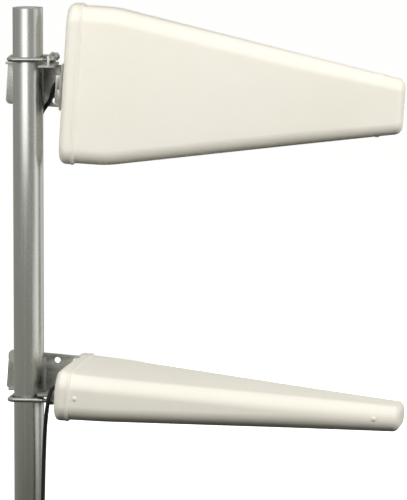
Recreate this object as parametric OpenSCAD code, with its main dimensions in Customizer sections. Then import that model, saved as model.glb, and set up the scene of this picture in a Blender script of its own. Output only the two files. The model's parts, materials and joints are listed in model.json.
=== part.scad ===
// Pair of enclosed log-periodic antennas, one upright and one level, clamped to a tube mast.
// Millimetres. The origin is the centre of the mast's foot, +Z is up, the antennas point along +X.

/* [Mast] */
// Outside diameter of the mast tube
mast_d = 40; // [38:0.5:42]
// Wall of the mast tube
mast_wall = 1.5; // [1.2:0.1:3]
// Length of the mast tube
mast_len = 820; // [780:10:1200]

/* [Antennas] */
// Height of the upper antenna's axis at the mast
upper_z = 724; // [700:1:730]
// Height of the lower antenna's axis at the mast
lower_z = 323; // [320:1:340]
// How far the upper antenna's nose hangs below level, in degrees
upper_droop = 3.6; // [2:0.1:5]
// How far the lower antenna's nose hangs below level, in degrees
lower_droop = 4; // [2:0.1:5]
// How far the lower antenna is turned about the mast towards its lead, in degrees
lower_turn = 4; // [0:0.5:6]
// Overall length of an antenna, rear face to nose
ant_len = 447; // [440:1:460]
// Width of the radome at its rear end
rear_w = 207.5; // [200:0.5:212]
// Width of the radome at its nose
nose_w = 71; // [66:0.5:76]
// Thickness of the radome at its rear end
rear_t = 63; // [60:0.5:66]
// Thickness of the radome at its nose
nose_t = 34; // [32:0.5:38]
// Wall of the radome
shell_wall = 2.6; // [2:0.1:3.5]
// Number of dipoles on the log-periodic booms
dipoles = 14; // [10:1:16]

/* [Clamp] */
// Thickness of the folded steel brackets
plate = 3; // [2.5:0.1:3]
// Diameter of the U-bolt's rod
rod_d = 6; // [5:0.5:6]
// Spacing of the U-bolt's legs
leg_gap = 48; // [46:1:50]
// Diameter of the pivot bolt
pivot_d = 8; // [6:1:8]

/* [Cable] */
// Diameter of the coaxial pigtails
cable_d = 5.5; // [4:0.1:5.5]

/* [Hidden] */
$fn = 64;

// The two antennas; the functions below say what each entry is
UPPER = ["upper", upper_z, upper_droop, 0, 1, 22, 29.3, [-34, 26], [-25, 12], [-36, 20], false, 0,
         48, -31.5, 34];
LOWER = ["lower", lower_z, lower_droop, 90, -1, 14.5, 20.4, [-20, 16], [-20, 2], [-36.5, 14.5], true,
         -lower_turn, 51.5, -34.5, 31.5];
ANTENNAS = [UPPER, LOWER];
function name_of(a) = a[0];
function axis_z(a) = a[1];      // height of its axis at the mast
function droop(a) = a[2];
function roll(a) = a[3];        // about its own axis
function u_way(a) = a[4];       // 1 with the U-bolt above the axis, -1 below it
function flange_z(a) = a[5];    // outer face of the mast bracket's flange
function u_z(a) = a[6];         // the U-bolt
function base_z(a) = a[7];      // low and high edge of the base plate
function ear_z(a) = a[8];       // low and high edge of the near ear
function side_z(a) = a[9];      // low and high edge of the side plate
function has_nose(a) = a[10];   // whether the side plate reaches over the cap's shoulder
function turn(a) = a[11];       // about the mast
function cap_x(a) = a[12];      // rear face of the cap
function far_x(a) = a[13];      // far edge of the side plate
function hole_x(a) = a[14];     // spare hole in the side plate

PARTS = ["radome", "rear_cap", "cap_gasket", "side_screws", "boom_a", "boom_b", "elements_a", "elements_b",
         "boom_spacers", "front_block", "rear_block", "feed_cable", "antenna_bracket", "bracket_screws",
         "mast_bracket", "u_bolt", "u_bolt_washers", "u_bolt_nuts", "pivot_bolts", "pivot_washers",
         "pivot_nuts", "cable_gland", "pigtail", "heat_shrink", "connector_shell", "connector_insulator",
         "connector_pin"];

gap = 0.3;               // between parts that move past each other
mast_r = mast_d / 2;
ring_n = 40;             // points round the radome's section
bend_x = 63;             // where the radome starts to taper, from the rear face
edge_r = 21;             // rounding of the radome's long edges
nose_r = 9;              // rounding at the nose
cap_len = 20;
cap_proud = 1.75;        // how far the cap stands out from the radome
cap_round_w = 10;        // rounding at the cap's rear, in its width
cap_round_t = 8;         // rounding at the cap's rear, in its thickness
cap_floor = 3.5;
cap_step = 12;           // where the cap's inside opens to take the radome's end
gasket_t = 1;
shell_start = cap_step + gasket_t;
block_end = 24;          // front of the rear block
boom_end = 432;          // front ends of the booms
boom_gap = 8;            // between the two booms
boom_t = 10;
boom_w = 12;
feed_d = 4;
screw_y = 10;            // bracket screws, from the axis, through the thickness
screw_z = 17;            // bracket screws, from the axis, along the width
pivot_z = -8;            // pivot bolt, seen with the U-bolt up
lock_r = 14;             // lock bolt, from the pivot
lock_d = 6;
tab_y = 27.2;            // inner face of the mast bracket's tab
tab_w = 36;
side_y = tab_y + plate + gap;
lug_x = 28.5;            // inner face of the lug that takes the U-bolt's legs
leg_end = 39.5;          // ends of the U-bolt's legs
u_r = leg_gap / 2;
u_x = -mast_r - rod_d / 2 - 0.05;        // the U-bolt's back, along its centre line
u_bend = 8;              // its corners, along the centre line
near_y = -27.5;          // outer face of the antenna bracket's near ear
gland_len = 5;
apex_x = 589;            // where the dipoles' lengths would shrink to nothing
first_x = 46;            // longest dipole
last_x = 424;            // shortest dipole
dipole_slope = 0.172;    // length of a dipole for each millimetre from the apex

COL_SHELL = [0.93, 0.91, 0.86];
COL_STEEL = [0.62, 0.63, 0.61];
COL_ZINC = [0.78, 0.78, 0.75];
COL_DARK = [0.06, 0.06, 0.06];
COL_ALU = [0.80, 0.81, 0.82];
COL_NYLON = [0.90, 0.90, 0.86];
COL_BRASS = [0.80, 0.66, 0.35];

// Cable routes: x and y from the mast's axis, z from the antenna's axis height
UPPER_ROUTE = [[44, 0, -2.9], [41, 0.3, -3.2], [38.2, 0.9, -4.1], [35.8, 1.6, -6.1], [33.9, 2.4, -9.2],
               [32.5, 3.3, -13.2], [31.3, 4.5, -17.9], [29.9, 6.2, -22.6], [28.1, 8.5, -27.2],
               [25.2, 12, -31.5], [21.6, 16, -36.2], [17.7, 19.7, -41.6], [14.2, 22.7, -48.8],
               [11.5, 24.8, -58], [9.9, 26.2, -69.6], [8.1, 27.9, -81.4], [6.9, 29.3, -94],
               [6, 30.4, -107.5], [5.4, 31.2, -121.5], [4.9, 31.9, -136], [4.5, 32.4, -151],
               [4.2, 32.8, -166], [4, 33, -181], [4, 33, -196], [4, 33, -211], [4, 33, -226],
               [4, 33, -241], [4, 33, -255]];
LOWER_ROUTE = [[47.5, 0, -3.4], [44.6, -0.6, -3.4], [41.9, -2.1, -3.4], [39.7, -4.7, -3.5],
               [38.2, -8.2, -3.6], [37.2, -12.3, -3.8], [36.6, -16.8, -4], [36.2, -21.4, -4.2],
               [36, -25.6, -4.4], [35.8, -29.2, -4.7], [35.4, -32.4, -5.8], [34.9, -35, -8.3],
               [34.1, -36.6, -12], [33, -37.4, -16.8], [31.9, -37.5, -22.2], [30.8, -37.1, -28.8],
               [29.6, -36, -37.2], [28.4, -34.4, -47], [27.2, -32.4, -58], [26.2, -30.5, -70],
               [25.4, -29, -83], [24.7, -28, -97], [24.2, -27.6, -111], [23.8, -27.6, -125],
               [23.5, -27.9, -140], [23.2, -28.4, -155], [23, -29, -170], [22.8, -29.6, -185],
               [22.7, -30.2, -200], [22.6, -30.8, -215], [22.5, -31.4, -230]];
function route(a) = name_of(a) == "upper" ? UPPER_ROUTE : LOWER_ROUTE;

// Radome size at a distance from the rear face, with a soft bend where the taper starts
function taper(x) = let (s = x - bend_x, k = 12)
    s < -k ? 0 : s > k ? s : (s + k) * (s + k) / (4 * k);
function shell_w(x) = rear_w - (rear_w - nose_w) * taper(x) / (ant_len - bend_x);
function shell_t(x) = rear_t - (rear_t - nose_t) * x / ant_len;
function round_in(r, s) = s >= r ? 0 : r - sqrt(r * r - (r - s) * (r - s));

// One section: a rounded rectangle, w along Z and t along Y
function section(x, w, t, r) = let (q = ring_n / 4, e = min(r, t / 2 - 0.3))
    [for (k = [0 : 3]) for (j = [0 : q - 1])
        let (a = 90 * k + 90 * j / (q - 1), sy = (k == 0 || k == 3) ? 1 : -1, sz = k < 2 ? 1 : -1)
        [x, sy * (t / 2 - e) + e * cos(a), sz * (w / 2 - e) + e * sin(a)]];

function outer_ring(x) = let (c = round_in(nose_r, ant_len - x))
    section(x, shell_w(x) - 2 * c, shell_t(x) - 2 * c, edge_r);
function inner_ring(x) = let (c = shell_wall + round_in(nose_r, ant_len - shell_wall - x))
    section(x, shell_w(x) - 2 * c, shell_t(x) - 2 * c, edge_r - shell_wall);

// Skin over a list of sections: ends closed, or joined end to end into a ring
module loft(rings, flip = false, ring = false) {
    n = len(rings[0]);
    m = len(rings);
    last = ring ? m - 1 : m - 2;
    sides = [for (i = [0 : last]) for (j = [0 : n - 1])
        let (row = i * n, next = ((i + 1) % m) * n, k = (j + 1) % n,
             a = row + j, b = row + k, c = next + k, d = next + j)
        for (f = [[a, d, c], [a, c, b]]) f];
    ends = ring ? [] : [[for (j = [0 : n - 1]) j], [for (j = [n - 1 : -1 : 0]) (m - 1) * n + j]];
    faces = concat(sides, ends);
    polyhedron([for (r = rings) each r], flip ? [for (f = faces) reversed(f)] : faces, convexity = 6);
}

function unit(v) = v / norm(v);
function reversed(list) = [for (i = [len(list) - 1 : -1 : 0]) list[i]];

// Round tube through a list of points
module tube(points, r, sides, ref) {
    last = len(points) - 1;
    rings = [for (i = [0 : last])
        let (t = unit(points[min(i + 1, last)] - points[max(i - 1, 0)]),
             u = unit(cross(t, ref)), v = cross(t, u))
        [for (j = [0 : sides - 1]) points[i] + r * (cos(360 * j / sides) * u + sin(360 * j / sides) * v)]];
    loft(rings);
}

// Frames: the clamp stands square on the mast, the bracket and the antenna hang about the pivot
module turned(a) {
    rotate([0, 0, turn(a)]) translate([0, 0, axis_z(a)]) children();
}

module on_clamp(a) {
    turned(a) scale_z(a) children();
}

module scale_z(a) {
    if (u_way(a) < 0) mirror([0, 0, 1]) children();
    else children();
}

module hung(a) {
    pivot = [0, 0, pivot_z * u_way(a)];
    turned(a) translate(pivot) rotate([0, droop(a), 0]) translate(-pivot) children();
}

module on_bracket(a) {
    hung(a) scale_z(a) children();
}

module on_antenna(a) {
    hung(a) translate([cap_x(a), 0, 0]) rotate([roll(a), 0, 0]) children();
}

// Cylinders along an axis, from one end to the other
module along_x(x1, x2, r) {
    translate([x1, 0, 0]) rotate([0, 90, 0]) cylinder(h = x2 - x1, r = r);
}

module along_y(y1, y2, r) {
    translate([0, y1, 0]) rotate([-90, 0, 0]) cylinder(h = y2 - y1, r = r);
}

module hex_y(y1, y2, flats) {
    translate([0, y1, 0]) rotate([-90, 0, 0]) cylinder(h = y2 - y1, r = flats / sqrt(3), $fn = 6);
}

// Rectangle in X and Z with its own radius at each corner, then pushed out along Y
module plate_y(y1, x, z, radii) {
    corners = [[x[0], z[0], radii[0], 180], [x[1], z[0], radii[1], 270],
               [x[1], z[1], radii[2], 0], [x[0], z[1], radii[3], 90]];
    points = [for (c = corners) let (sx = c[0] == x[0] ? 1 : -1, sz = c[1] == z[0] ? 1 : -1)
        for (k = [0 : (c[2] > 0 ? 8 : 0)]) let (t = c[3] + 90 * k / 8)
            [c[0] + sx * c[2] + c[2] * cos(t), c[1] + sz * c[2] + c[2] * sin(t)]];
    translate([0, y1 + plate, 0]) rotate([90, 0, 0]) linear_extrude(plate) polygon(points);
}

module mast_tube() {
    color(COL_STEEL) difference() {
        cylinder(h = mast_len, r = mast_r, $fn = 96);
        translate([0, 0, -1]) cylinder(h = mast_len + 2, r = mast_r - mast_wall, $fn = 96);
    }
}

// Enclosure
module radome(a) {
    inside = [ant_len - shell_wall, ant_len - shell_wall - 0.8, ant_len - shell_wall - 3,
              ant_len - shell_wall - nose_r, 380, 315, 200, bend_x + 12, bend_x + 4, bend_x - 4, bend_x - 12,
              shell_start];
    outside = [shell_start, bend_x - 12, bend_x - 4, bend_x + 4, bend_x + 12, 200, 315, 380, ant_len - nose_r,
               ant_len - 4, ant_len - 2.2, ant_len - 0.8, ant_len - 0.15, ant_len];
    color(COL_SHELL) on_antenna(a)
        loft(concat([for (x = inside) inner_ring(x)], [for (x = outside) outer_ring(x)]));
}

function cap_ring(x, grow) = let (g = 2 * (cap_proud + grow))
    section(x, rear_w + g - 2 * round_in(cap_round_w, x), shell_t(x) + g - 2 * round_in(cap_round_t, x),
            edge_r + cap_proud);

module rear_cap(a) {
    bead = [[16.6, 0], [17.1, 0.45], [18, 0.75], [18.9, 0.6], [19.6, 0.3], [cap_len, -0.1]];
    sides = [0, 0.2, 0.8, 1.8, 3.2, 5, 7.5, 10, 14];
    hollow = [cap_floor, 5.6, 8, cap_step];
    outside = concat([for (x = sides) cap_ring(x, 0)], [for (b = bead) cap_ring(b[0], b[1])]);
    lap = [for (x = [cap_step, cap_len]) section(x, shell_w(x) + 0.4, shell_t(x) + 0.4, edge_r)];
    inside = concat([for (x = hollow) cap_ring(x, -cap_proud - 3)], lap);
    color(COL_SHELL) on_antenna(a) difference() {
        loft(concat(inside, reversed(outside)), flip = true);
        along_x(-1, cap_floor + 1, 5);
        for (y = [-1, 1]) for (z = [-1, 1])
            translate([0, y * screw_y, z * screw_z]) along_x(-1, cap_floor + 1, 2.6);
    }
}

module cap_gasket(a) {
    x = [cap_step, shell_start];
    inside = [for (p = x) inner_ring(p)];
    outside = [for (p = x) outer_ring(p)];
    color(COL_DARK) on_antenna(a) loft([inside[1], inside[0], outside[0], outside[1]], ring = true);
}

// Domed screws through the narrow sides: two by the cap, two by the nose
module side_screws(a) {
    color(COL_SHELL) on_antenna(a)
        for (x = [28, ant_len - 33]) for (s = [0, 180])
            rotate([s, 0, 0]) translate([x, 0, shell_w(x) / 2 - 0.9]) {
                intersection() {
                    translate([0, 0, -2.6]) sphere(r = 4.6);
                    cylinder(h = 3, r = 3.8);
                }
                translate([0, 0, -8]) cylinder(h = 8, r = 1.6);
            }
}

// Feed structure inside
module boom(a, side) {
    y = side > 0 ? boom_gap / 2 : -boom_gap / 2 - boom_t;
    color(COL_ALU) on_antenna(a)
        translate([block_end, y, -boom_w / 2]) cube([boom_end - block_end, boom_t, boom_w]);
}

function dipole_x(k) = let (shrink = (apex_x - last_x) / (apex_x - first_x))
    apex_x - (apex_x - first_x) * pow(shrink, k / (dipoles - 1));
function dipole_h(k) = dipole_slope * (apex_x - dipole_x(k));

module elements(a, side) {
    color(COL_ALU) on_antenna(a)
        for (k = [0 : dipoles - 1]) {
            up = (k % 2 == 0) == (side > 0);
            translate([dipole_x(k), side * (boom_gap + boom_t) / 2, 0])
                rotate([up ? 0 : 180, 0, 0]) translate([0, 0, boom_w / 2])
                    cylinder(h = dipole_h(k) - boom_w / 2, r = 2.5, $fn = 24);
        }
}

module boom_spacers(a) {
    color(COL_NYLON) on_antenna(a)
        for (x = [120, 235, 350]) difference() {
            translate([x - 7, -boom_gap / 2, -boom_w / 2]) cube([14, boom_gap, boom_w]);
            along_x(x - 8, x + 8, feed_d / 2);
        }
}

module front_block(a) {
    color(COL_NYLON) on_antenna(a)
        translate([boom_end, -9, -18]) cube([8, 18, 36]);
}

module rear_block(a) {
    color(COL_ALU) on_antenna(a) difference() {
        translate([cap_floor, -16, -25]) cube([block_end - cap_floor, 32, 50]);
        along_x(cap_floor - 1, block_end + 1, 5);
        for (y = [-1, 1]) for (z = [-1, 1])
            translate([0, y * screw_y, z * screw_z]) along_x(cap_floor - 1, 18, 2.5);
    }
}

module feed_cable(a) {
    color(COL_DARK) on_antenna(a) along_x(cap_floor, boom_end, feed_d / 2);
}

// Bracket on the antenna: base plate on the cap, long side plate past the mast, short near ear
module antenna_bracket(a) {
    z = base_z(a);
    ear = ear_z(a);
    side = side_z(a);
    face_x = cap_x(a);
    color(COL_STEEL) on_bracket(a) difference() {
        union() {
            translate([face_x - plate, near_y, z[0]]) cube([plate, side_y + plate - near_y, z[1] - z[0]]);
            translate([face_x - 9, near_y, ear[0]]) cube([9, plate, ear[1] - ear[0]]);
            plate_y(side_y, [far_x(a), face_x], side, [6, 9, 2, 3]);
            if (has_nose(a)) side_nose(face_x, side[0]);
        }
        along_x(face_x - plate - 1, face_x + 1, 7.5);
        rotate([roll(a), 0, 0]) for (y = [-1, 1]) for (s = [-1, 1])
            translate([0, y * screw_y, s * screw_z]) along_x(face_x - plate - 1, face_x + 1, 2.7);
        translate([0, 0, pivot_z]) along_y(side_y - 1, side_y + plate + 1, pivot_d / 2 + 0.05);
        translate([hole_x(a), 0, side[0] + 8]) along_y(side_y - 1, side_y + plate + 1, 3.9);
        translate([face_x - 5.5, 0, -5]) along_y(near_y - 1, near_y + plate + 1, 1.6);
        lock_slot(a);
    }
}

// Nose of the side plate that lies over the level antenna's shoulder
module side_nose(face_x, low) {
    top = -rear_t / 2 - cap_proud - 0.7;
    shoulder = [for (s = [10, 8, 6, 4, 2, 1, 0]) [face_x + s, top + round_in(cap_round_t, s + 0.2)]];
    points = concat([[face_x - 8, low], [face_x + 10, low]], shoulder, [[face_x - 8, low + 18]]);
    translate([0, side_y + plate, 0]) rotate([90, 0, 0]) linear_extrude(plate) polygon(points);
}

module lock_slot(a) {
    w = lock_d / 2 + 0.3;
    span = u_way(a) > 0 ? [-96, -79] : [-101, -84];
    arc = [for (k = [0 : 12]) span[0] + (span[1] - span[0]) * k / 12];
    outline = concat([for (t = arc) (lock_r + w) * [cos(t), sin(t)]],
                     [for (k = [12 : -1 : 0]) (lock_r - w) * [cos(arc[k]), sin(arc[k])]]);
    translate([0, side_y + plate + 1, pivot_z]) rotate([90, 0, 0]) linear_extrude(plate + 2) polygon(outline);
    for (t = span)
        translate([lock_r * cos(t), 0, pivot_z + lock_r * sin(t)]) along_y(side_y - 1, side_y + plate + 1, w);
}

module bracket_screws(a) {
    color(COL_ZINC) on_antenna(a)
        for (y = [-1, 1]) for (z = [-1, 1])
            translate([0, y * screw_y, z * screw_z]) {
                along_x(-plate - 3, -plate, 4);
                along_x(-plate, 14, 2.45);
            }
}

// Bracket on the mast: toothed jaw flange, lug for the U-bolt, tab for the pivot behind the mast
module mast_bracket(a) {
    top = flange_z(a);
    u = u_z(a);
    tab_low = pivot_z - lock_r - 7;
    half = 60;            // half the angle of the jaw's V
    jaw = mast_r + 0.2;
    // Sides of the jaw's V with their teeth, tips on the lines that touch the mast
    function v_side(s, n) = [for (k = [0 : 2 * n]) let (d = 1.5 * k, out = k % 2 == 0 ? 1.1 : 0)
        [jaw / sin(half) - d * cos(half) + out * sin(half), s * (d * sin(half) + out * cos(half))]];
    far = v_side(1, 7);
    near = v_side(-1, 6);
    points = concat([[-32, tab_y + plate], [-32, mast_r + 1], [far[14][0] - 1, mast_r + 1]],
                    [for (k = [13 : -1 : 0]) far[k]], [for (k = [1 : 11]) near[k]],
                    [[15, -22], [17, -29], [38, -29], [38, tab_y + plate]]);
    color(COL_STEEL) on_clamp(a) difference() {
        union() {
            translate([0, 0, top - plate]) linear_extrude(plate) polygon(points);
            translate([-tab_w / 2, tab_y, tab_low]) cube([tab_w, plate, top - tab_low]);
            translate([lug_x, -29, top - plate]) cube([plate, 29 + tab_y + plate, u - top + plate + 5.5]);
        }
        for (y = [-u_r, u_r]) translate([0, y, u]) along_x(lug_x - 1, lug_x + plate + 1, rod_d / 2 + 0.2);
        translate([0, 0, pivot_z]) along_y(tab_y - 1, tab_y + plate + 1, pivot_d / 2 + 0.05);
        translate([0, 0, pivot_z - lock_r]) along_y(tab_y - 1, tab_y + plate + 1, lock_d / 2 + 0.05);
    }
}

module u_bolt(a) {
    r = rod_d / 2;
    color(COL_ZINC) on_clamp(a) translate([0, 0, u_z(a)]) {
        for (s = [-1, 1]) {
            translate([0, s * u_r, 0]) along_x(u_x + u_bend, leg_end, r);
            translate([u_x + u_bend, s * (u_r - u_bend), 0]) rotate([0, 0, s > 0 ? 90 : 180])
                rotate_extrude(angle = 90, $fn = 96) translate([u_bend, 0]) circle(r = r, $fn = 32);
        }
        translate([u_x, 0, 0]) along_y(-u_r + u_bend, u_r - u_bend, r);
    }
}

module u_bolt_washers(a) {
    color(COL_ZINC) on_clamp(a)
        for (y = [-u_r, u_r]) translate([0, y, u_z(a)]) difference() {
            along_x(lug_x + plate, lug_x + plate + 1.2, 5.5);
            along_x(lug_x, lug_x + plate + 2, rod_d / 2 + 0.2);
        }
}

module u_bolt_nuts(a) {
    color(COL_ZINC) on_clamp(a)
        for (y = [-u_r, u_r]) translate([lug_x + plate + 1.2, y, u_z(a)]) difference() {
            rotate([30, 0, 0]) rotate([0, 90, 0]) cylinder(h = 5, r = 10 / sqrt(3), $fn = 6);
            along_x(-1, 6, rod_d / 2);
        }
}

module pivot_bolts(a) {
    tip = side_y + plate + gap + 1.6;
    color(COL_ZINC) on_clamp(a) translate([0, 0, pivot_z]) {
        hex_y(tab_y - 4, tab_y, 12);
        along_y(tab_y, tip + 6.5, pivot_d / 2);
        translate([0, 0, -lock_r]) {
            hex_y(tab_y - 3.5, tab_y, 10);
            along_y(tab_y, tip + 5.5, lock_d / 2);
        }
    }
}

module pivot_washers(a) {
    y = side_y + plate + gap;
    color(COL_ZINC) on_clamp(a) translate([0, 0, pivot_z]) {
        difference() {
            along_y(y, y + 1.6, 6.6);
            along_y(y - 1, y + 3, pivot_d / 2);
        }
        translate([0, 0, -lock_r]) difference() {
            along_y(y, y + 1.6, 6.2);
            along_y(y - 1, y + 3, lock_d / 2);
        }
    }
}

module pivot_nuts(a) {
    y = side_y + plate + gap + 1.6;
    color(COL_ZINC) on_clamp(a) translate([0, 0, pivot_z]) {
        difference() {
            hex_y(y, y + 5, 12);
            along_y(y - 1, y + 6, pivot_d / 2);
        }
        translate([0, 0, -lock_r]) difference() {
            hex_y(y, y + 4.5, 10);
            along_y(y - 1, y + 6, lock_d / 2);
        }
    }
}

// Cable and its connector
module cable_gland(a) {
    color(COL_DARK) on_antenna(a) {
        along_x(0, cap_floor, 4.9);
        along_x(-plate + 0.6, 0, 7);
        translate([-plate + 0.6, 0, 0]) rotate([0, -90, 0])
            cylinder(h = gland_len - plate + 0.6, r1 = 5, r2 = 3.6);
    }
}

module pigtail(a) {
    ref = name_of(a) == "upper" ? [1, 1, 1] : [1, -1, 1];
    color(COL_DARK) turned(a) tube(route(a), cable_d / 2, 10, ref);
}

module on_cable_end(a) {
    points = route(a);
    turned(a) translate(points[len(points) - 1]) children();
}

module heat_shrink(a) {
    color(COL_DARK) on_cable_end(a) translate([0, 0, -2]) difference() {
        cylinder(h = 18, r = 3.4);
        translate([0, 0, -1]) cylinder(h = 20, r = cable_d / 2);
    }
}

// Panel-size N socket: ferrule, hexagon, threaded barrel with its bore open downwards
module connector_shell(a) {
    color(COL_ZINC) on_cable_end(a) difference() {
        union() {
            translate([0, 0, -8]) cylinder(h = 6, r = 4);
            translate([0, 0, -15]) cylinder(h = 7, r = 16 / sqrt(3), $fn = 6);
            translate([0, 0, -31]) cylinder(h = 16, r = 7.9);
        }
        translate([0, 0, -32]) cylinder(h = 15, r = 4.2);
    }
}

module connector_insulator(a) {
    color(COL_NYLON) on_cable_end(a) translate([0, 0, -24]) difference() {
        cylinder(h = 7, r = 4.2);
        translate([0, 0, -1]) cylinder(h = 9, r = 1.5);
    }
}

module connector_pin(a) {
    color(COL_BRASS) on_cable_end(a) translate([0, 0, -28]) difference() {
        cylinder(h = 11, r = 1.5);
        translate([0, 0, -1]) cylinder(h = 5, r = 0.85);
    }
}

mast_tube();

module if_node(a, part) {
    children();
}

for (a = ANTENNAS) {
    if_node(a, "radome") radome(a);
    if_node(a, "rear_cap") rear_cap(a);
    if_node(a, "cap_gasket") cap_gasket(a);
    if_node(a, "side_screws") side_screws(a);
    if_node(a, "boom_a") boom(a, 1);
    if_node(a, "boom_b") boom(a, -1);
    if_node(a, "elements_a") elements(a, 1);
    if_node(a, "elements_b") elements(a, -1);
    if_node(a, "boom_spacers") boom_spacers(a);
    if_node(a, "front_block") front_block(a);
    if_node(a, "rear_block") rear_block(a);
    if_node(a, "feed_cable") feed_cable(a);
    if_node(a, "antenna_bracket") antenna_bracket(a);
    if_node(a, "bracket_screws") bracket_screws(a);
    if_node(a, "mast_bracket") mast_bracket(a);
    if_node(a, "u_bolt") u_bolt(a);
    if_node(a, "u_bolt_washers") u_bolt_washers(a);
    if_node(a, "u_bolt_nuts") u_bolt_nuts(a);
    if_node(a, "pivot_bolts") pivot_bolts(a);
    if_node(a, "pivot_washers") pivot_washers(a);
    if_node(a, "pivot_nuts") pivot_nuts(a);
    if_node(a, "cable_gland") cable_gland(a);
    if_node(a, "pigtail") pigtail(a);
    if_node(a, "heat_shrink") heat_shrink(a);
    if_node(a, "connector_shell") connector_shell(a);
    if_node(a, "connector_insulator") connector_insulator(a);
    if_node(a, "connector_pin") connector_pin(a);
}
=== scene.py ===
"""The looks of a mast with two enclosed log-periodic antennas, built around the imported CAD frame.

The CAD holds every size and joint. Here each visible piece is rebuilt as a finer mesh in the same place,
and every piece gets a procedural material. Sizes are in millimetres where a name says so, else metres.
"""

import json
import math

import bmesh
import bpy
from mathutils import Matrix, Vector


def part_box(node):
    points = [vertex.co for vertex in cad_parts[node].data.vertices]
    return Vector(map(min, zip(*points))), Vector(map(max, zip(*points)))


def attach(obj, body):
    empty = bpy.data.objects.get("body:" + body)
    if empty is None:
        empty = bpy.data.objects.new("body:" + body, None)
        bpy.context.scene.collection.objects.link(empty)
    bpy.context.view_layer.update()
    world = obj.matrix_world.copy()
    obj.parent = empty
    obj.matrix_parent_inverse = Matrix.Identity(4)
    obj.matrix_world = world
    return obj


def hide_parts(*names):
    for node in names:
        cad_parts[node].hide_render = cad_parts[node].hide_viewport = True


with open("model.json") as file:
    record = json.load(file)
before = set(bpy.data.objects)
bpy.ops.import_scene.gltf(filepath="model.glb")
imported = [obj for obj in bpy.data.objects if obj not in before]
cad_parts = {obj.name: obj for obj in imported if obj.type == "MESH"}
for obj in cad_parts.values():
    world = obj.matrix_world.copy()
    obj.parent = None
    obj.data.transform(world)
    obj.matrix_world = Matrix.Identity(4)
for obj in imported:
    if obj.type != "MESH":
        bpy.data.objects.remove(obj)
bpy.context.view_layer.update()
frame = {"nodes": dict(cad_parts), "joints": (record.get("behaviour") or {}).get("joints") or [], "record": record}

MM = 0.001
UP = Vector((0, 0, 1))
SIDES = ("upper", "lower")
JOINTS = {j["name"]: j for j in frame["joints"]}
# Height of each antenna's axis, and its turn about the mast, from its joints
AXIS_Z = {s: JOINTS[s + "_azimuth"]["pos_m"][2] for s in SIDES}
TURN = {s: -math.atan2(JOINTS[s + "_tilt"]["axis"][0], JOINTS[s + "_tilt"]["axis"][1]) for s in SIDES}
# Degrees nose down at rest, quarter turn about the antenna's length, and which way up the clamp is
DROOP = {"upper": 3.6, "lower": 4.0}
ROLL = {"upper": 0, "lower": 90}
UPWARD = {"upper": 1, "lower": -1}

# ---------------------------------------------------------------- camera

# From the -Y side, a little from ahead and above, at a point between the antennas, through a long lens
CAMERA_AZIMUTH = math.radians(4.7)
CAMERA_HEIGHT = math.radians(7.1)
CAMERA_DISTANCE = 8.0
CAMERA_LENS = 437.8
LOOK_AT = Vector((0.2315, 0, AXIS_Z["upper"] - 0.2225))


def make_camera():
    back = Vector((math.sin(CAMERA_AZIMUTH) * math.cos(CAMERA_HEIGHT),
                   -math.cos(CAMERA_AZIMUTH) * math.cos(CAMERA_HEIGHT),
                   math.sin(CAMERA_HEIGHT)))
    data = bpy.data.cameras.new("camera")
    data.lens = CAMERA_LENS
    data.sensor_width = 36
    data.clip_end = 200
    camera = bpy.data.objects.new("camera", data)
    camera.location = LOOK_AT + back * CAMERA_DISTANCE
    camera.rotation_mode = "QUATERNION"
    camera.rotation_quaternion = (-back).to_track_quat("-Z", "Y")
    bpy.context.scene.collection.objects.link(camera)
    bpy.context.scene.camera = camera


# ---------------------------------------------------------------- materials


def set_stops(ramp, stops):
    """Fills a colour ramp from (position, colour or grey) pairs."""
    elements = ramp.color_ramp.elements
    while len(elements) < len(stops):
        elements.new(0.5)
    for element, (position, colour) in zip(elements, stops):
        element.position = position
        element.color = (*colour, 1) if hasattr(colour, "__len__") else (colour, colour, colour, 1)


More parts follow.
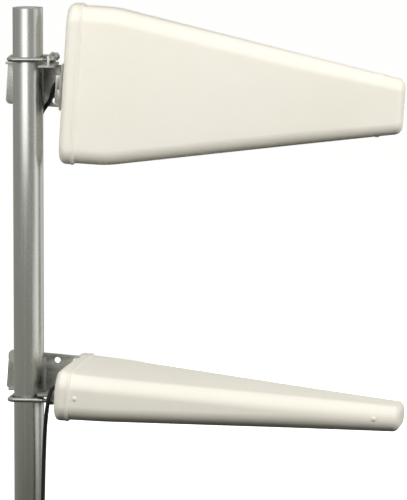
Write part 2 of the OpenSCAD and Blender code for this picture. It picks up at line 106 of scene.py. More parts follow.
class Nodes:
    """Short way to write a material's node tree."""

    def __init__(self, name):
        self.material = bpy.data.materials.new(name)
        self.material.use_nodes = True
        self.tree = self.material.node_tree
        self.shader = self.tree.nodes["Principled BSDF"]
        self.place = self.add("ShaderNodeTexCoord").outputs["Object"]

    def add(self, kind, **settings):
        node = self.tree.nodes.new(kind)
        for key, value in settings.items():
            setattr(node, key, value)
        return node

    def link(self, out, socket):
        self.tree.links.new(out, socket)

    def scaled(self, scale):
        mapping = self.add("ShaderNodeMapping")
        mapping.inputs["Scale"].default_value = scale
        self.link(self.place, mapping.inputs["Vector"])
        return mapping.outputs["Vector"]

    def noise(self, scale, detail=4, roughness=0.55, stretch=(1, 1, 1)):
        noise = self.add("ShaderNodeTexNoise")
        noise.inputs["Scale"].default_value = scale
        noise.inputs["Detail"].default_value = detail
        noise.inputs["Roughness"].default_value = roughness
        self.link(self.scaled(stretch), noise.inputs["Vector"])
        return noise.outputs["Fac"]

    def cells(self, scale):
        cells = self.add("ShaderNodeTexVoronoi", feature="F1")
        cells.inputs["Scale"].default_value = scale
        self.link(self.place, cells.inputs["Vector"])
        return cells.outputs["Color"]

    def fade(self, value, low, high, start=0.3, end=0.7):
        """From one colour or grey to another while a value goes from start to end."""
        ramp = self.add("ShaderNodeValToRGB")
        set_stops(ramp, [(start, low), (end, high)])
        self.link(value, ramp.inputs["Fac"])
        return ramp.outputs["Color"]

    def mix(self, factor, a, b, blend="MIX"):
        """Mixes two colour outputs by a constant factor."""
        mix = self.add("ShaderNodeMix", data_type="RGBA", blend_type=blend)
        mix.inputs[0].default_value = factor
        self.link(a, mix.inputs[6])
        self.link(b, mix.inputs[7])
        return mix.outputs[2]

    def bump(self, height, distance, strength=1.0, under=None):
        bump = self.add("ShaderNodeBump")
        bump.inputs["Distance"].default_value = distance
        bump.inputs["Strength"].default_value = strength
        self.link(height, bump.inputs["Height"])
        if under:
            self.link(under, bump.inputs["Normal"])
        return bump.outputs["Normal"]

    def finish(self, colour, roughness, normal, **constants):
        """Feeds the shader and gives back the material; the constants are its other inputs."""
        for socket, value in (("Base Color", colour), ("Roughness", roughness), ("Normal", normal)):
            self.link(value, self.shader.inputs[socket])
        for name, value in constants.items():
            self.shader.inputs[name].default_value = value
        return self.material


def radome_plastic():
    """Cream moulded ABS: fine spark-eroded grain, faint flow marks and a little dust in the tone."""
    n = Nodes("radome_plastic")
    tone = n.fade(n.noise(9, 5), (0.80, 0.765, 0.67), (0.835, 0.80, 0.71))
    specks = n.fade(n.noise(900, 2), 0.93, 1.0, 0.27, 0.36)
    colour = n.mix(1.0, tone, specks, "MULTIPLY")
    rough = n.fade(n.noise(60, 4), 0.34, 0.43)
    swell = n.bump(n.noise(14, 2), 0.0006, 0.5)
    grain = n.bump(n.noise(2600, 3, 0.6), 0.00004, 0.6, under=swell)
    return n.finish(colour, rough, grain, IOR=1.5)


def mast_steel():
    """Drawn steel tube: lengthwise grain, faint polishing rings and a few dull patches."""
    n = Nodes("mast_steel")
    streaks = n.noise(420, 5, 0.65, stretch=(1, 1, 0.012))
    tone = n.fade(streaks, (0.56, 0.57, 0.545), (0.66, 0.67, 0.645))
    patches = n.fade(n.noise(7, 4, 0.6, stretch=(1, 1, 0.5)), 0.93, 1.0, 0.35, 0.65)
    colour = n.mix(1.0, tone, patches, "MULTIPLY")
    rough = n.mix(0.5, n.fade(streaks, 0.24, 0.31), n.fade(n.noise(16, 4), 0.23, 0.31, start=0.35))
    lengthwise = n.bump(streaks, 0.00003, 0.5)
    rings = n.bump(n.noise(300, 3, 0.6, stretch=(0.05, 0.05, 6)), 0.00001, 0.35, under=lengthwise)
    return n.finish(colour, rough, rings, Metallic=1.0)


def bracket_steel():
    """Galvanised sheet: grey zinc crystals under faint stains, with a slightly rough surface."""
    n = Nodes("bracket_steel")
    crystals = n.fade(n.cells(260), (0.52, 0.52, 0.49), (0.65, 0.65, 0.61), 0, 1)
    stains = n.fade(n.noise(45, 5, 0.65), 0.72, 1.0, 0.32, 0.62)
    colour = n.mix(1.0, crystals, stains, "MULTIPLY")
    rough = n.fade(n.noise(120, 5, 0.7), 0.30, 0.46)
    normal = n.bump(n.noise(700, 4, 0.6), 0.00005, 0.5)
    return n.finish(colour, rough, normal, Metallic=0.8)


def zinc_steel():
    """Bright zinc plating on fasteners and rod."""
    n = Nodes("zinc_steel")
    tone = n.fade(n.noise(180, 4), (0.50, 0.50, 0.47), (0.58, 0.58, 0.55))
    rough = n.fade(n.noise(320, 4, 0.65), 0.24, 0.34)
    normal = n.bump(n.noise(900, 2), 0.000008, 0.3)
    return n.finish(tone, rough, normal, Metallic=1.0)


def black_rubber():
    """Matt black moulded rubber."""
    n = Nodes("black_rubber")
    tone = n.fade(n.noise(500, 4), (0.012, 0.012, 0.012), (0.025, 0.025, 0.024))
    rough = n.fade(n.noise(260, 3), 0.5, 0.68)
    return n.finish(tone, rough, n.bump(n.noise(1600, 3), 0.00004, 0.6))


def cable_jacket():
    """Black PVC with a slight sheen and extrusion marks along it."""
    n = Nodes("cable_jacket")
    tone = n.fade(n.noise(220, 4, 0.6, stretch=(1, 1, 0.1)), 0.004, 0.009)
    rough = n.fade(n.noise(150, 3), 0.42, 0.54)
    return n.finish(tone, rough, n.bump(n.noise(700, 3, 0.6, stretch=(1, 1, 0.06)), 0.00004, 0.5))


def bare_aluminium():
    """Drawn aluminium with its grain along the booms."""
    n = Nodes("bare_aluminium")
    drawn = n.noise(500, 4, 0.6, stretch=(0.03, 1, 1))
    tone = n.fade(drawn, (0.74, 0.75, 0.76), (0.84, 0.85, 0.86))
    rough = n.fade(drawn, 0.28, 0.42)
    return n.finish(tone, rough, n.bump(drawn, 0.00003, 0.5), Metallic=1.0)


def nylon():
    """Natural nylon, slightly uneven."""
    n = Nodes("nylon")
    tone = n.fade(n.noise(60, 3), (0.78, 0.76, 0.68), (0.84, 0.82, 0.75))
    rough = n.fade(n.noise(200, 3), 0.38, 0.5)
    return n.finish(tone, rough, n.bump(n.noise(900, 3), 0.00004, 0.5))


def nickel_brass():
    """Nickel plating, faintly cloudy."""
    n = Nodes("nickel_brass")
    tone = n.fade(n.noise(240, 4), (0.66, 0.64, 0.58), (0.78, 0.76, 0.71))
    rough = n.fade(n.noise(500, 4, 0.65), 0.16, 0.28)
    return n.finish(tone, rough, n.bump(n.noise(1800, 3), 0.00001, 0.4), Metallic=1.0)


def brass():
    """Plain brass contact."""
    n = Nodes("brass")
    tone = n.fade(n.noise(300, 4), (0.72, 0.53, 0.22), (0.82, 0.64, 0.30))
    rough = n.fade(n.noise(500, 3), 0.2, 0.3)
    return n.finish(tone, rough, n.bump(n.noise(1800, 3), 0.00001, 0.4), Metallic=1.0)


MATERIALS = {m.__name__: m() for m in (radome_plastic, mast_steel, bracket_steel, zinc_steel, black_rubber,
                                       cable_jacket, bare_aluminium, nylon, nickel_brass, brass)}


def dress(obj, slot):
    """Gives a piece the material of one of the record's slots."""
    obj.data.materials.clear()
    obj.data.materials.append(MATERIALS[slot])


# ---------------------------------------------------------------- mesh tools

# Hexagon chamfers: height and starting radius as shares of the width across flats, and outward slope
CHAMFER_HEIGHT, CHAMFER_START, CHAMFER_SLOPE = 0.09, 0.475, 1.73
# Threads: depth as a share of the pitch, flat at crest and root as a share of half a turn, steps a turn
THREAD_DEPTH, THREAD_FLAT, THREAD_STEPS = 0.54, 0.12, 8
SOCKET_PITCH = 1.06


def upright(side):
    """From millimetres about the antenna's axis height to the frame's metres, turned about the mast."""
    lift = Matrix.Translation((0, 0, AXIS_Z[side]))
    return Matrix.Rotation(TURN[side], 4, "Z") @ lift @ Matrix.Scale(MM, 4)


def place(side, on_antenna=False):
    """From a bracket's or antenna's own millimetres to the frame's metres, hung at its droop."""
    pivot = Matrix.Translation(Vector(JOINTS[side + "_tilt"]["pos_m"]))
    axis = Vector(JOINTS[side + "_tilt"]["axis"])
    hung = pivot @ Matrix.Rotation(math.radians(DROOP[side]), 4, axis) @ pivot.inverted()
    local = upright(side)
    if on_antenna:
        roll = Matrix.Rotation(math.radians(ROLL[side]), 4, "X")
        local = local @ Matrix.Translation((FACE_X[side], 0, 0)) @ roll
    return hung @ local


def square(side):
    """The same for the clamp, which stays square on the mast; the lower one is turned over."""
    return upright(side) @ Matrix.Diagonal((1, 1, UPWARD[side], 1))


def make_piece(name, slot, body, bm, where, sharp, stands_for):
    """Turns a bmesh into a finished piece on a body; edges over sharp degrees stay hard."""
    bmesh.ops.recalc_face_normals(bm, faces=bm.faces)
    mesh = bpy.data.meshes.new(name)
    bm.to_mesh(mesh)
    bm.free()
    mesh.transform(where)
    if where.determinant() < 0:
        mesh.flip_normals()
    mesh.shade_smooth()
    mesh.set_sharp_from_angle(angle=math.radians(sharp))
    piece = bpy.data.objects.new(name, mesh)
    bpy.context.scene.collection.objects.link(piece)
    dress(piece, slot)
    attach(piece, body)
    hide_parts(*stands_for)
    return piece


def skin(bm, rings, loop=False):
    """Joins rings of points with quads. The last ring joins the first, or else both ends are closed."""
    rows = [[bm.verts.new(p) for p in ring] for ring in rings]
    count = len(rings[0])
    pairs = list(zip(rows, rows[1:])) + ([(rows[-1], rows[0])] if loop else [])
    for a, b in pairs:
        for j in range(count):
            k = (j + 1) % count
            bm.faces.new((a[j], a[k], b[k], b[j]))
    if not loop:
        bm.faces.new(rows[0])
        bm.faces.new(rows[-1])


def polar(radius, angle, height):
    """Point at an angle and height about Z."""
    return Vector((radius * math.cos(angle), radius * math.sin(angle), height))


def full_turn(count):
    """Angles of a turn in equal steps."""
    return [2 * math.pi * j / count for j in range(count)]


def lathe(bm, profile, segments=48, where=Matrix.Identity(4), loop=True):
    """Turns a profile of (radius, height) about Z. A closed profile makes a ring, an open one is capped."""
    rings = [[where @ polar(r, t, h) for t in full_turn(segments)] for r, h in profile]
    skin(bm, rings, loop=loop)


def along(start, direction):
    """Matrix that puts Z along a direction, from a start point."""
    return Matrix.Translation(start) @ Vector(direction).to_track_quat("Z", "Y").to_matrix().to_4x4()


def hexagon(bm, flats, low, high, hole, where):
    """Hexagon nut or head with turned chamfers, and a hole unless hole is 0."""
    chamfer = flats * CHAMFER_HEIGHT
    heights = [low, low + chamfer * 0.5, low + chamfer, high - chamfer, high - chamfer * 0.5, high]
    angles = full_turn(72)
    corner = math.pi / 3

    def radius(t, h):
        flat = flats / 2 / math.cos((t + corner / 2) % corner - corner / 2)
        chamfered = flats * CHAMFER_START + min(h - low, high - h) * CHAMFER_SLOPE
        return min(flat, chamfered)

    rings = [[where @ polar(radius(t, h), t, h) for t in angles] for h in heights]
    if hole:
        rings += [[where @ polar(hole, t, h) for t in angles] for h in (high, low)]
    skin(bm, rings, loop=bool(hole))


def thread_depth(turns, pitch):
    """How far a rolled thread lies below its crest, as a share of a turn goes by."""
    from_root = abs(turns % 1.0 - 0.5) * 2
    return THREAD_DEPTH * pitch * max(0.0, min(1.0, (from_root - THREAD_FLAT) / (1 - 2 * THREAD_FLAT)))


def thread_rings(radius, pitch, low, high, segments, tip, tip_depth):
    """Rings of a thread that fades in at its low end and has a chamfered tip at its high end."""
    steps = int((high - low) / pitch * THREAD_STEPS)
    rings = []
    for i in range(steps + 1):
        h = low + (high - low) * i / steps
        fade = min(1.0, (h - low) / pitch)
        chamfer = max(0.0, 1 - (high - h) / tip) * tip_depth
        cuts = [max(fade * thread_depth(h / pitch - j / segments, pitch), chamfer) for j in range(segments)]
        rings.append([polar(radius - cut, t, h) for cut, t in zip(cuts, full_turn(segments))])
    return rings


def threaded(bm, radius, pitch, low, high, where):
    """Solid rod with a thread along it."""
    rings = thread_rings(radius, pitch, low, high, 28, tip=0.6, tip_depth=0.62 * pitch)
    skin(bm, [[where @ p for p in ring] for ring in rings])


def barrel(bm, outer, inner, low, high):
    """Hollow barrel with an outside thread."""
    rings = thread_rings(outer, SOCKET_PITCH, low, high, 64, tip=0.8, tip_depth=0.7)
    rings += [[polar(inner, t, h) for t in full_turn(64)] for h in (high, low)]
    skin(bm, rings, loop=True)


# ---------------------------------------------------------------- enclosure

# Sizes in millimetres, the same as in the CAD model. An antenna's own x runs from its cap's rear face to
# its nose, and FACE_X is how far that face is from the mast's axis
FACE_X = {"upper": 48, "lower": 51.5}
ANT_LEN = 447
REAR_W, NOSE_W = 207.5, 71
REAR_T, NOSE_T = 63, 34
# Where the radome starts to narrow, and the length on either side over which the bend is eased
BEND_X, BEND_SOFT = 63, 12
WALL = 2.6
EDGE_R = 21
NOSE_R = 9
# Cap: its length, how far it stands proud of the shell, where its overlap with the shell starts, its
# floor's thickness, and how its shoulders are rounded across the width and through the thickness
CAP_LEN, CAP_PROUD, CAP_STEP, CAP_FLOOR = 20, 1.75, 12, 3.5
CAP_ROUND_W, CAP_ROUND_T = 10, 8
SHELL_START = CAP_STEP + 1
SIDE_SCREW_X = (28, ANT_LEN - 33)
SECTION_POINTS = 144


def taper(x):
    """Distance past the bend, eased in."""
    s = x - BEND_X
    if s < -BEND_SOFT:
        return 0
    return s if s > BEND_SOFT else (s + BEND_SOFT) ** 2 / (4 * BEND_SOFT)


def shell_w(x):
    return REAR_W - (REAR_W - NOSE_W) * taper(x) / (ANT_LEN - BEND_X)


def shell_t(x):
    return REAR_T - (REAR_T - NOSE_T) * x / ANT_LEN


def round_in(radius, s):
    """How far a rounded end lies in from the straight side, s from the end."""
    return 0 if s >= radius else radius - math.sqrt(radius ** 2 - (radius - s) ** 2)


def section(x, w, t, r):
    """Rounded rectangle across the antenna, w along its broad side and t through it."""
    e = min(r, t / 2 - 0.3)
    quarter = SECTION_POINTS // 4
    ring = []
    for k in range(4):
        sy, sz = (1, -1, -1, 1)[k], (1, 1, -1, -1)[k]
        for j in range(quarter):
            a = math.radians(90 * (k + j / (quarter - 1)))
            ring.append((x, sy * (t / 2 - e) + e * math.cos(a), sz * (w / 2 - e) + e * math.sin(a)))
    return ring


def spread(low, high, count):
    """Evenly spaced values, both ends included."""
    return [low + (high - low) * i / (count - 1) for i in range(count)]


def rounding(end, radius, count):
    """Places along the last stretch before a rounded end, crowded towards it."""
    return [end - radius * (1 - math.sin(math.pi / 2 * i / count)) for i in range(count + 1)]


def radome(side):
    """Closed wedge shell with a rounded nose; its sections lie closest where it bends."""
    def outer(x):
        c = round_in(NOSE_R, ANT_LEN - x)
        return section(x, shell_w(x) - 2 * c, shell_t(x) - 2 * c, EDGE_R)

    def inner(x):
        c = WALL + round_in(NOSE_R, ANT_LEN - WALL - x)
        return section(x, shell_w(x) - 2 * c, shell_t(x) - 2 * c, EDGE_R - WALL)

    # Where the sections lie, outside from the cap to the nose and inside the wall
    outside = spread(SHELL_START, BEND_X - BEND_SOFT, 6) + spread(BEND_X - 9, BEND_X + BEND_SOFT, 8)
    outside += spread(95, ANT_LEN - NOSE_R - 4, 14) + rounding(ANT_LEN, NOSE_R, 8)
    inside = [SHELL_START, BEND_X, 200, 330, ANT_LEN - WALL - NOSE_R, ANT_LEN - WALL - 2, ANT_LEN - WALL]
    bm = bmesh.new()
    skin(bm, [inner(x) for x in reversed(inside)] + [outer(x) for x in outside])
    make_piece(side + "_radome_shell", "radome_plastic", side + "_antenna", bm, place(side, True), 40,
               [side + "_radome"])


def rear_cap(side):
    """Cap with deep rounded shoulders and a raised bead at the seam."""
    def ring(x, grow):
        g = 2 * (CAP_PROUD + grow)
        w = REAR_W + g - 2 * round_in(CAP_ROUND_W, x)
        t = shell_t(x) + g - 2 * round_in(CAP_ROUND_T, x)
        return section(x, w, t, EDGE_R + CAP_PROUD)

    bead = [(15.6, 0), (16.1, 0.15), (16.7, 0.45), (17.3, 0.66), (18.0, 0.7), (18.7, 0.5), (19.4, 0),
            (20.2, -0.7), (21, -1.3), (21.8, -CAP_PROUD + 0.03), (22.1, -CAP_PROUD - 0.2)]
    shoulder = [CAP_ROUND_W * (1 - math.cos(math.pi / 2 * i / 20)) for i in range(21)] + [14]
    outside = [ring(x, 0) for x in shoulder] + [ring(x, g) for x, g in bead]
    hollow = [ring(x, -CAP_PROUD - 3) for x in (CAP_FLOOR, 5.5, 8, CAP_STEP)]
    lap = [section(x, shell_w(x) + 0.4, shell_t(x) + 0.4, EDGE_R) for x in (CAP_STEP, CAP_LEN)]
    bm = bmesh.new()
    skin(bm, hollow + lap + outside[::-1])
    make_piece(side + "_cap", "radome_plastic", side + "_antenna", bm, place(side, True), 40,
               [side + "_rear_cap"])


def side_screws(side):
    """Domed screws with a small flat and a rounded rim, through both narrow sides."""
    bm = bmesh.new()
    dome = [(3.75, -0.4), (3.75, 0.1), (3.55, 0.5), (3.0, 1.1), (2.2, 1.62), (1.2, 1.9), (0.01, 1.95)]
    for x in SIDE_SCREW_X:
        for s in (1, -1):
            lathe(bm, dome, 40, along((x, 0, s * (shell_w(x) / 2 - 0.8)), (0, 0, s)), loop=False)
    make_piece(side + "_domed_screws", "radome_plastic", side + "_antenna", bm, place(side, True), 50,
               [side + "_side_screws"])


# ---------------------------------------------------------------- mast and clamps

MAST_R, MAST_WALL = 20, 1.5
# Sheet thickness of both brackets
PLATE = 3
# U-bolt: its legs, rod, back and corners, where its threads start and end, its height from the axis
LEG_Y, ROD_R, BACK_X, BACK_BEND = 24, 3, -23.05, 8
THREAD_START, LEG_END = 22, 39.5
ROD_Z = {"upper": 29.3, "lower": 20.4}
ROD_WASHER = 1.2
# Mast bracket: its lug, its flange's outer face and its tab
LUG_X, TAB_Y = 28.5, 27.2
FLANGE_Z = {"upper": 22, "lower": 14.5}
# Antenna bracket: its side plate's inner face, its near ear's outer face, its screws
SIDE_Y, NEAR_Y = 30.5, -27.5
SCREW_Y, SCREW_Z = 10, 17
# Pivot bolt's height, the lock bolt's distance below it, their washers and the gap under them
PIVOT_Z, LOCK_R = -8, 14
PIVOT_WASHER, PIVOT_GAP = 1.6, 0.3
# Folded sheet: rounding of its outer folds, which are the edges longer than FOLD_LENGTH, and of cut edges
FOLD_R, FOLD_LENGTH, CUT_EASE = 2.6, 12, 0.35


def mast():
    """Tube with eased rims."""
    lo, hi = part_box("mast_tube")
    length, inner, ease = (hi.z - lo.z) / MM, MAST_R - MAST_WALL, 0.35
    profile = [(MAST_R - ease, 0), (MAST_R - ease * 0.3, ease * 0.3), (MAST_R, ease), (MAST_R, length / 2),
               (MAST_R, length - ease), (MAST_R - ease * 0.3, length - ease * 0.3), (MAST_R - ease, length),
               (inner + ease, length), (inner, length - ease), (inner, length / 2), (inner, ease),
               (inner + ease, 0)]
    bm = bmesh.new()
    lathe(bm, profile, 160)
    make_piece("mast", "mast_steel", "mast", bm, Matrix.Scale(MM, 4), 50, ["mast_tube"])


def u_bolt(side):
    """Bent rod with rolled threads on both legs."""
    bm = bmesh.new()
    z = ROD_Z[side]
    bend_at = BACK_X + BACK_BEND
    quarter = [math.pi / 2 * i / 14 for i in range(15)]
    path = [(THREAD_START, -LEG_Y), (0, -LEG_Y)]
    path += [(bend_at - BACK_BEND * math.sin(t), -LEG_Y + BACK_BEND * (1 - math.cos(t))) for t in quarter]
    path += [(bend_at - BACK_BEND * math.cos(t), LEG_Y - BACK_BEND * (1 - math.sin(t))) for t in quarter]
    path += [(0, LEG_Y), (THREAD_START, LEG_Y)]
    rings = []
    for i, (x, y) in enumerate(path):
        before, after = path[max(i - 1, 0)], path[min(i + 1, len(path) - 1)]
        way = Vector((after[0] - before[0], after[1] - before[1], 0)).normalized()
        across = way.cross(UP)
        rings.append([Vector((x, y, z)) + ROD_R * (math.cos(t) * across + math.sin(t) * UP)
                      for t in full_turn(28)])
    skin(bm, rings)
    for y in (-LEG_Y, LEG_Y):
        threaded(bm, ROD_R - 0.02, 1.0, THREAD_START - 0.5, LEG_END, along((0, y, z), (1, 0, 0)))
    make_piece(side + "_u_rod", "zinc_steel", side + "_clamp", bm, square(side), 60, [side + "_u_bolt"])


def rod_nuts(side):
    """The U-bolt's two nuts, which don't stop at quite the same turn."""
    bm = bmesh.new()
    for y in (-LEG_Y, LEG_Y):
        turned = Matrix.Rotation(math.pi / 6 + y * 0.001, 4, "Z")
        at = along((LUG_X + PLATE, y, ROD_Z[side]), (1, 0, 0)) @ turned
        hexagon(bm, 10, ROD_WASHER, ROD_WASHER + 5, ROD_R - 0.05, at)
    make_piece(side + "_rod_nuts", "zinc_steel", side + "_clamp", bm, square(side), 30,
               [side + "_u_bolt_nuts"])


def washer(bm, outer, inner, low, high, where):
    """Flat ring with eased outer edges."""
    ease = 0.15
    lathe(bm, [(inner, low), (outer - ease, low), (outer, low + ease), (outer, high - ease),
               (outer - ease, high), (inner, high)], 48, where)


def rod_washers(side):
    """Washers under the U-bolt's nuts."""
    bm = bmesh.new()
    for y in (-LEG_Y, LEG_Y):
        washer(bm, 5.5, ROD_R + 0.2, 0, ROD_WASHER, along((LUG_X + PLATE, y, ROD_Z[side]), (1, 0, 0)))
    make_piece(side + "_rod_washers", "zinc_steel", side + "_clamp", bm, square(side), 40,
               [side + "_u_bolt_washers"])


def pivot_hardware(side):
    """Pivot bolt and lock bolt, with washers and nuts outside the side plate."""
    where, body = square(side), side + "_clamp"
    outside = SIDE_Y + PLATE + PIVOT_GAP
    bolts, washers, nuts = bmesh.new(), bmesh.new(), bmesh.new()
    # Height, radius, width across flats, head height, nut height, end past the nut, washer radius, pitch
    sizes = ((PIVOT_Z, 4, 12, 4, 5, 1.5, 6.6, 1.25), (PIVOT_Z - LOCK_R, 3, 10, 3.5, 4.5, 1, 6.2, 1.0))
    for z, r, flats, head, nut_h, end, washer_r, pitch in sizes:
        at = along((0, 0, z), (0, 1, 0))
        nut_from = outside + PIVOT_WASHER
        hexagon(bolts, flats, TAB_Y - head, TAB_Y, 0, at)
        lathe(bolts, [(r - 0.02, TAB_Y - 0.5), (r - 0.02, outside + 1)], 40, at, loop=False)
        threaded(bolts, r - 0.04, pitch, outside + 0.5, nut_from + nut_h + end, at)
        washer(washers, washer_r, r + 0.05, outside, nut_from, at)
        hexagon(nuts, flats, nut_from, nut_from + nut_h, r - 0.05, at)
    make_piece(side + "_tilt_bolts", "zinc_steel", body, bolts, where, 40, [side + "_pivot_bolts"])
    make_piece(side + "_tilt_washers", "zinc_steel", body, washers, where, 40, [side + "_pivot_washers"])
    make_piece(side + "_tilt_nuts", "zinc_steel", body, nuts, where, 30, [side + "_pivot_nuts"])


def eased_sheet(node, body, name, fold):
    """The CAD bracket with its outer folds rounded to a bend radius and its cut edges eased."""
    bm = bmesh.new()
    bm.from_mesh(frame["nodes"][node].data)
    bmesh.ops.remove_doubles(bm, verts=bm.verts, dist=1e-6)
    bmesh.ops.dissolve_limit(bm, angle_limit=math.radians(0.5), verts=bm.verts, edges=bm.edges)
    folds = [e for e in bm.edges if e.calc_length() > FOLD_LENGTH * MM and fold(e)]
    bmesh.ops.bevel(bm, geom=folds, offset=FOLD_R * MM, offset_type="OFFSET", segments=6, profile=0.5,
                    affect="EDGES", clamp_overlap=True)
    sharp = [e for e in bm.edges if len(e.link_faces) == 2 and e.calc_face_angle(0) > math.radians(50)]
    bmesh.ops.bevel(bm, geom=sharp, offset=CUT_EASE * MM, offset_type="OFFSET", segments=2, profile=0.6,
                    affect="EDGES", clamp_overlap=True)
    make_piece(name, "bracket_steel", body, bm, Matrix.Identity(4), 40, [node])


def lies_at(edge, into, x=None, y=None, z=None):
    """Whether both ends of an edge have these coordinates in a piece's own millimetres, to 0.02 mm."""
    return all(abs(value - wanted) < 0.02
               for vertex in edge.verts
               for value, wanted in zip(into @ vertex.co, (x, y, z)) if wanted is not None)


def brackets(side):
    """The folded plates on the mast and on the antenna."""
    into_clamp, into_bracket = square(side).inverted(), place(side).inverted()
    top, face = FLANGE_Z[side], FACE_X[side]

    def mast_fold(edge):
        """Outer edges where the flange turns into the tab, and where it turns into the lug."""
        return (lies_at(edge, into_clamp, y=TAB_Y + PLATE, z=top)
                or lies_at(edge, into_clamp, x=LUG_X + PLATE, z=top - PLATE))

    def antenna_fold(edge):
        """Outer edges where the base plate turns into the side plate and into the near ear."""
        return any(lies_at(edge, into_bracket, x=face, y=y) for y in (SIDE_Y + PLATE, NEAR_Y))

    eased_sheet(side + "_mast_bracket", side + "_clamp", side + "_jaw_bracket", mast_fold)
    eased_sheet(side + "_antenna_bracket", side + "_antenna", side + "_tilt_bracket", antenna_fold)


def cap_screws(side):
    """Pan-head screws that hold the bracket to the cap, from their shanks' ends to their heads."""
    bm = bmesh.new()
    screw = [(2.45, -14), (2.45, 0), (4, 0), (4, 1.4), (3.6, 2.3), (2.7, 2.85), (0.9, 3)]
    for y in (-SCREW_Y, SCREW_Y):
        for z in (-SCREW_Z, SCREW_Z):
            lathe(bm, screw, 36, along((-PLATE, y, z), (-1, 0, 0)), loop=False)
    make_piece(side + "_cap_screws", "zinc_steel", side + "_antenna", bm, place(side, True), 40,
               [side + "_bracket_screws"])


# ---------------------------------------------------------------- leads

# Routes in millimetres from the mast's axis and the antenna's axis height
ROUTE = {
    "upper": [(44, 0, -2.9), (41, 0.3, -3.2), (38.2, 0.9, -4.1), (35.8, 1.6, -6.1), (33.9, 2.4, -9.2),
              (32.5, 3.3, -13.2), (31.3, 4.5, -17.9), (29.9, 6.2, -22.6), (28.1, 8.5, -27.2),
              (25.2, 12, -31.5), (21.6, 16, -36.2), (17.7, 19.7, -41.6), (14.2, 22.7, -48.8),
              (11.5, 24.8, -58), (9.9, 26.2, -69.6), (8.1, 27.9, -81.4), (6.9, 29.3, -94),
              (6, 30.4, -107.5), (5.4, 31.2, -121.5), (4.9, 31.9, -136), (4.5, 32.4, -151),
              (4.2, 32.8, -166), (4, 33, -181), (4, 33, -196), (4, 33, -211), (4, 33, -226),
              (4, 33, -241), (4, 33, -255)],
    "lower": [(47.5, 0, -3.4), (44.6, -0.6, -3.4), (41.9, -2.1, -3.4), (39.7, -4.7, -3.5),
              (38.2, -8.2, -3.6), (37.2, -12.3, -3.8), (36.6, -16.8, -4), (36.2, -21.4, -4.2),
              (36, -25.6, -4.4), (35.8, -29.2, -4.7), (35.4, -32.4, -5.8), (34.9, -35, -8.3),
              (34.1, -36.6, -12), (33, -37.4, -16.8), (31.9, -37.5, -22.2), (30.8, -37.1, -28.8),
              (29.6, -36, -37.2), (28.4, -34.4, -47), (27.2, -32.4, -58), (26.2, -30.5, -70),
              (25.4, -29, -83), (24.7, -28, -97), (24.2, -27.6, -111), (23.8, -27.6, -125),
              (23.5, -27.9, -140), (23.2, -28.4, -155), (23, -29, -170), (22.8, -29.6, -185),
              (22.7, -30.2, -200), (22.6, -30.8, -215), (22.5, -31.4, -230)],
}
CABLE_D = 5.5


def gland(side):
    """Grommet in the cap with a tapered strain relief, from inside the cap outwards."""
    bm = bmesh.new()
    profile = [(4.9, -3.5), (4.9, 0), (7, 0), (7, 2), (6.6, 2.4), (5.1, 2.5), (4.8, 2.9), (4.2, 4.3),
               (3.6, 4.9), (2.8, 5)]
    lathe(bm, profile, 48, along((0, 0, 0), (-1, 0, 0)), loop=False)
    make_piece(side + "_gland", "black_rubber", side + "_antenna", bm, place(side, True), 40,
               [side + "_cable_gland"])


def connector(side):
    """Type N socket: ferrule, hexagon, threaded barrel, insulator and contact.

    Heights are millimetres down from the lead's last point.
    """
    down = upright(side) @ along(ROUTE[side][-1], -UP)

    def piece(name, slot, bm, sharp, node):
        return make_piece(f"{side}_{name}", slot, side + "_antenna", bm, down, sharp, [f"{side}_{node}"])

    sleeve = bmesh.new()
    lathe(sleeve, [(2.77, -16), (3.0, -16), (3.25, -15.2), (3.3, -12), (3.2, -8), (3.4, -3), (3.35, 0.5),
                   (4.15, 1.6), (4.25, 5), (4.1, 5.6), (2.77, 5.6)], 40)
    shell = bmesh.new()
    lathe(shell, [(2.6, 2), (4, 2), (4, 8.2), (2.6, 8.2)], 40)
    hexagon(shell, 16, 8, 15, 4.2, Matrix.Identity(4))
    lathe(shell, [(4.2, 14.9), (8.6, 14.9), (8.6, 16), (7.2, 16.1), (7.2, 17.2), (4.2, 17.2)], 48)
    barrel(shell, 7.9, 4.2, 17, 31)
    insulator = bmesh.new()
    lathe(insulator, [(1.5, 17), (4.2, 17), (4.2, 24), (1.5, 24)], 40)
    contact = bmesh.new()
    lathe(contact, [(0.85, 20), (1.5, 20), (1.5, 27.7), (1.3, 28), (0.85, 28)], 32)
    return [piece("sleeve", "black_rubber", sleeve, 50, "heat_shrink"),
            piece("socket", "nickel_brass", shell, 40, "connector_shell"),
            piece("insulator", "nylon", insulator, 40, "connector_insulator"),
            piece("contact", "brass", contact, 40, "connector_pin")]


def pigtail(side):
    """The coaxial lead: a round curve through its route, with its connector on the end."""
    points = [upright(side) @ Vector(p) for p in ROUTE[side]]
    curve = bpy.data.curves.new(side + "_lead", "CURVE")
    curve.dimensions = "3D"
    curve.bevel_depth = CABLE_D / 2 * MM
    curve.bevel_resolution = 7
    curve.resolution_u = 8
    curve.use_fill_caps = True
    spline = curve.splines.new("BEZIER")
    spline.bezier_points.add(len(points) - 1)
    for i, (knot, p) in enumerate(zip(spline.bezier_points, points)):
        before, after = points[max(i - 1, 0)], points[min(i + 1, len(points) - 1)]
        way = (after - before).normalized()
        knot.co = p
        knot.handle_left_type = knot.handle_right_type = "FREE"
        knot.handle_left = p - way * (p - before).length / 3
        knot.handle_right = p + way * (after - p).length / 3
    lead = bpy.data.objects.new(side + "_lead", curve)
    bpy.context.scene.collection.objects.link(lead)
    dress(lead, "cable_jacket")
    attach(lead, side + "_antenna")
    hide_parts(side + "_pigtail")
    connector(side)


# ---------------------------------------------------------------- studio


# Brightness of the white that the camera sees, and the share of the surroundings that lights matt surfaces
BACKDROP, MATT_SHARE = 1.05, 0.4
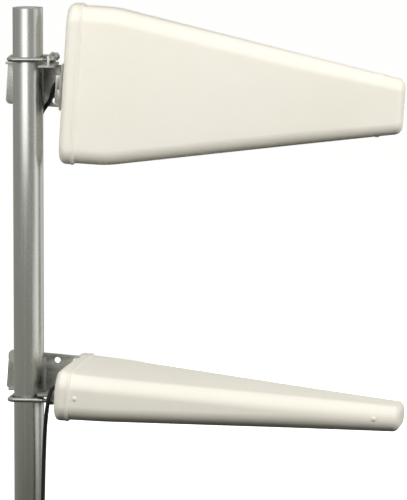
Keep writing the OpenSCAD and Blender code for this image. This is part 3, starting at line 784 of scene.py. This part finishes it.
# Surroundings as the metal mirrors them, from straight below (0) to straight above (1)
SURROUNDINGS = [(0.0, (0.05, 0.048, 0.038)), (0.28, (0.13, 0.128, 0.11)), (0.39, (0.33, 0.33, 0.29)),
                (0.62, (0.42, 0.42, 0.40)), (1.0, (0.75, 0.75, 0.74))]


def surroundings():
    """World that is a soft vertical gradient to the object and plain white to the camera."""
    scene = bpy.context.scene
    scene.view_settings.view_transform = "Standard"
    scene.world = bpy.data.worlds.new("studio")
    scene.world.use_nodes = True
    tree = scene.world.node_tree
    tree.nodes.clear()

    def add(kind):
        return tree.nodes.new("ShaderNode" + kind)

    direction, split, height, ramp = add("TexCoord"), add("SeparateXYZ"), add("MapRange"), add("ValToRGB")
    ray, dimmer = add("LightPath"), add("Math")
    around, white, mix, out = add("Background"), add("Background"), add("MixShader"), add("OutputWorld")
    height.inputs["From Min"].default_value = -1
    set_stops(ramp, SURROUNDINGS)
    white.inputs["Strength"].default_value = BACKDROP
    dimmer.operation = "MULTIPLY_ADD"
    dimmer.inputs[1].default_value = MATT_SHARE - 1
    dimmer.inputs[2].default_value = 1
    for source, socket in ((direction.outputs["Generated"], split.inputs[0]),
                           (split.outputs["Z"], height.inputs["Value"]),
                           (height.outputs[0], ramp.inputs["Fac"]),
                           (ramp.outputs["Color"], around.inputs["Color"]),
                           (ray.outputs["Is Diffuse Ray"], dimmer.inputs[0]),
                           (dimmer.outputs[0], around.inputs["Strength"]),
                           (ray.outputs["Is Camera Ray"], mix.inputs[0]),
                           (around.outputs[0], mix.inputs[1]),
                           (white.outputs[0], mix.inputs[2]),
                           (mix.outputs[0], out.inputs[0])):
        tree.links.new(source, socket)


def softbox(name, at, towards, size, watts, diffuse=True, glossy=True):
    """Area light that the camera doesn't see; it may be left out of matt light or of reflections."""
    data = bpy.data.lights.new(name, "AREA")
    data.shape = "RECTANGLE"
    data.size, data.size_y = size
    data.energy = watts
    light = bpy.data.objects.new(name, data)
    light.location = at
    light.rotation_mode = "QUATERNION"
    light.rotation_quaternion = (Vector(towards) - Vector(at)).to_track_quat("-Z", "Y")
    light.visible_camera = False
    light.visible_diffuse = diffuse
    light.visible_glossy = glossy
    bpy.context.scene.collection.objects.link(light)


def lights():
    # Soft light on the matt surfaces, kept out of the metal's reflections
    softbox("key", (-0.95, -1.4, 1.5), (0.15, 0, 0.55), (0.8, 0.8), 24.5, glossy=False)
    softbox("front", (0.55, -1.6, 1.7), (0.25, 0, 0.55), (1.4, 0.8), 11, glossy=False)
    softbox("right", (2.2, -0.85, 1.4), (0.3, 0, 0.55), (0.8, 0.8), 32, glossy=False)
    softbox("overhead", (0.35, -0.25, 2.1), (0.25, 0, 0.5), (1.6, 1.2), 1.2, glossy=False)
    softbox("rear", (0.5, 2.4, 0.35), (0.2, 0, 0.5), (1.6, 0.8), 20, glossy=False)
    # Cards that only show in reflections: two to the left at the upper clamp's height, two broad ones to
    # the right and behind, and a small dim one low on the right
    softbox("card_left", (-0.29, -0.96, 1.02), (0, 0, 1.02), (0.68, 0.6), 1.6, diffuse=False)
    softbox("card_wide", (-0.42, -1.05, 1.05), (0, 0, 1.05), (1.4, 0.65), 1.1, diffuse=False)
    softbox("card_right", (1.85, -0.65, 0.5), (0, 0, 0.5), (1.15, 1.8), 4.8, diffuse=False)
    softbox("card_low", (1.06, -1.06, 0.26), (0, 0, 0.26), (0.5, 0.28), 0.24, diffuse=False)
    softbox("card_behind", (1.65, 1.35, 0.5), (0, 0, 0.5), (1.5, 1.8), 4.0, diffuse=False)


def floor():
    """Pale floor, bright enough to read as a white studio sweep."""
    bm = bmesh.new()
    bmesh.ops.create_circle(bm, cap_ends=True, segments=96, radius=60)
    mesh = bpy.data.meshes.new("floor")
    bm.to_mesh(mesh)
    bm.free()
    ground = bpy.data.objects.new("floor", mesh)
    material = bpy.data.materials.new("floor")
    material.use_nodes = True
    shader = material.node_tree.nodes["Principled BSDF"]
    shader.inputs["Base Color"].default_value = (0.8, 0.8, 0.8, 1)
    shader.inputs["Roughness"].default_value = 0.9
    shader.inputs["Emission Color"].default_value = (1, 1, 1, 1)
    shader.inputs["Emission Strength"].default_value = 0.75
    mesh.materials.append(material)
    ground.visible_diffuse = False
    ground.visible_glossy = False
    bpy.context.scene.collection.objects.link(ground)


# ---------------------------------------------------------------- the object

make_camera()
for lead_side in SIDES:
    pigtail(lead_side)
    gland(lead_side)
for antenna_side in SIDES:
    radome(antenna_side)
    rear_cap(antenna_side)
    side_screws(antenna_side)
    cap_screws(antenna_side)
    brackets(antenna_side)
    u_bolt(antenna_side)
    rod_nuts(antenna_side)
    rod_washers(antenna_side)
    pivot_hardware(antenna_side)
mast()

# The CAD nodes that nothing stands in for keep their own mesh
SLOT_OF = {s["node"]: s["material_slot"] for s in frame["record"]["subparts"]}
for node, obj in frame["nodes"].items():
    if not obj.hide_render:
        dress(obj, SLOT_OF[node])

floor()
surroundings()
lights()
